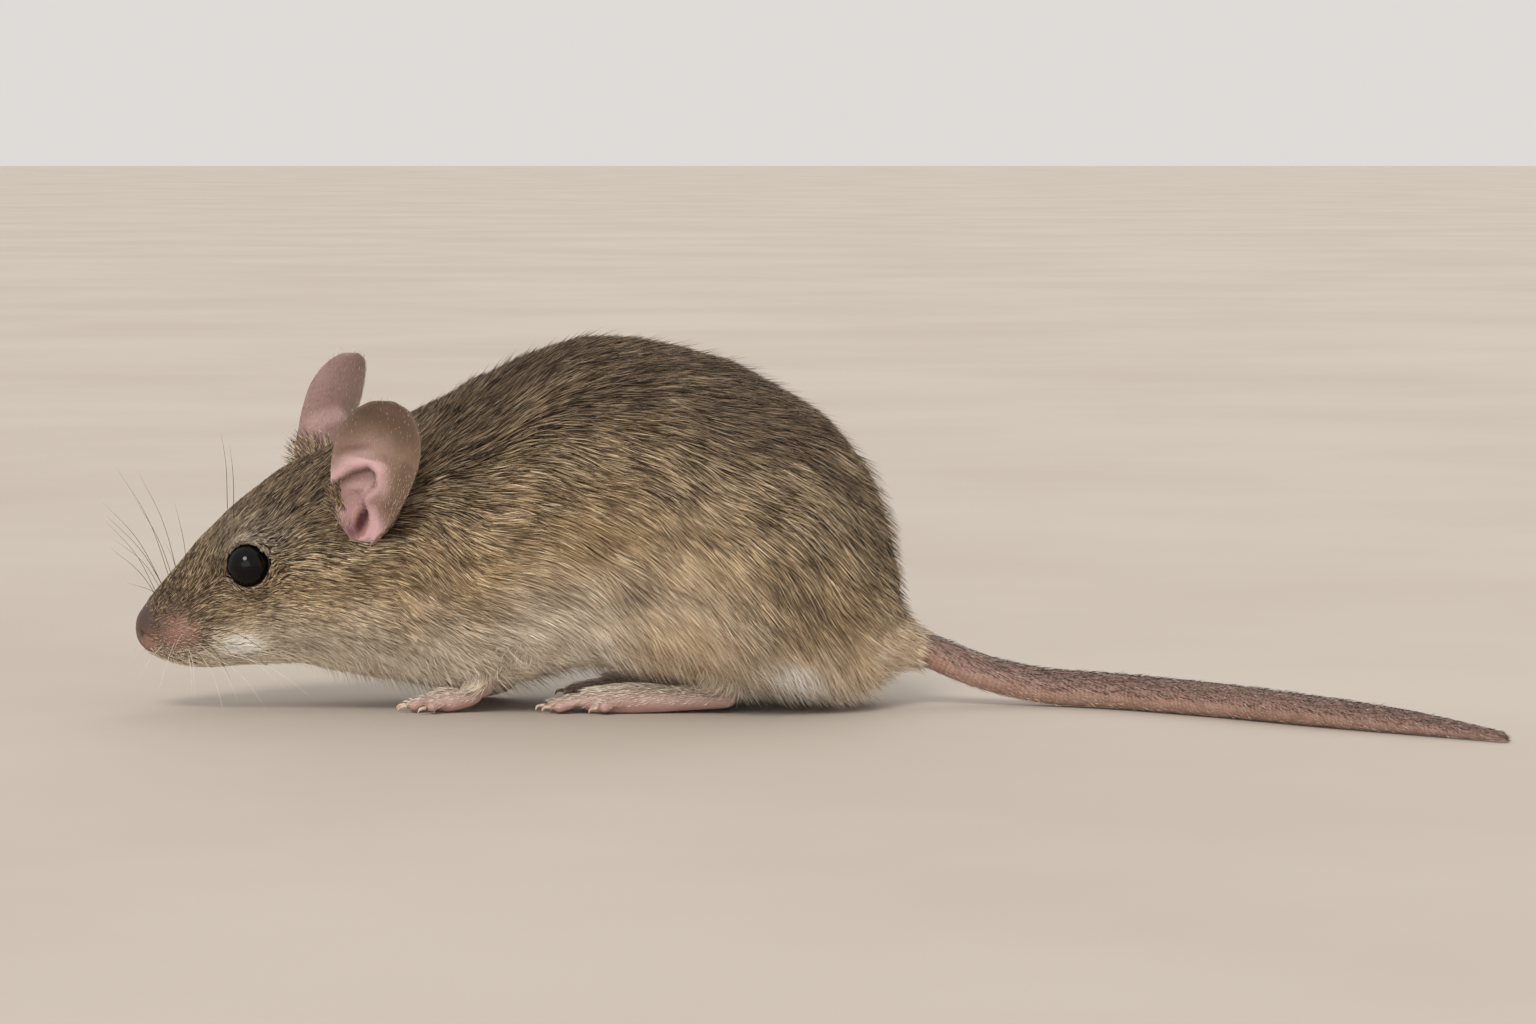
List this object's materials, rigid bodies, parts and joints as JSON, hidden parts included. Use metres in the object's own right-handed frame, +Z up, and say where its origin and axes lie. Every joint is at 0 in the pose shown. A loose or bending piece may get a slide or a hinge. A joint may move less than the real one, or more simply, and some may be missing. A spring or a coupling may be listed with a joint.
{
  "type": "house mouse",
  "caption": "Life-size house mouse crouching on all four feet, head turned slightly to its left, tail laid out on the floor behind it.",
  "frame": {"origin": "on the floor under the middle of the model's length and width", "axes": "+X from the nose towards the tail, +Y towards the animal's right side, +Z up from the floor"},
  "size_m": [0.1158, 0.044, 0.0324],
  "materials": {
    "coat": "matte fur",
    "pale_coat": "matte fur",
    "skin": "bare pink skin, slightly moist",
    "ear_skin": "thin downy skin, satin",
    "tail_skin": "finely ringed skin, satin",
    "nose_skin": "moist",
    "eye": "wet black gloss"
  },
  "bodies": {
    "root": {"nose": "nose_skin", "lower_jaw": "pale_coat", "head": "coat", "eye_left": "eye", "eye_right": "eye", "ear_left": "ear_skin", "ear_right": "ear_skin", "neck": "coat", "trunk": "coat", "upper_arm_left": "pale_coat", "upper_arm_right": "pale_coat", "haunch_left": "pale_coat", "haunch_right": "pale_coat", "forearm_left": "skin", "forearm_right": "skin", "forefoot_left": "skin", "forefoot_right": "skin", "hindfoot_left": "skin", "hindfoot_right": "skin", "tail_base": "tail_skin", "tail_middle": "tail_skin", "tail_tip": "tail_skin"}
  },
  "joints": []
}
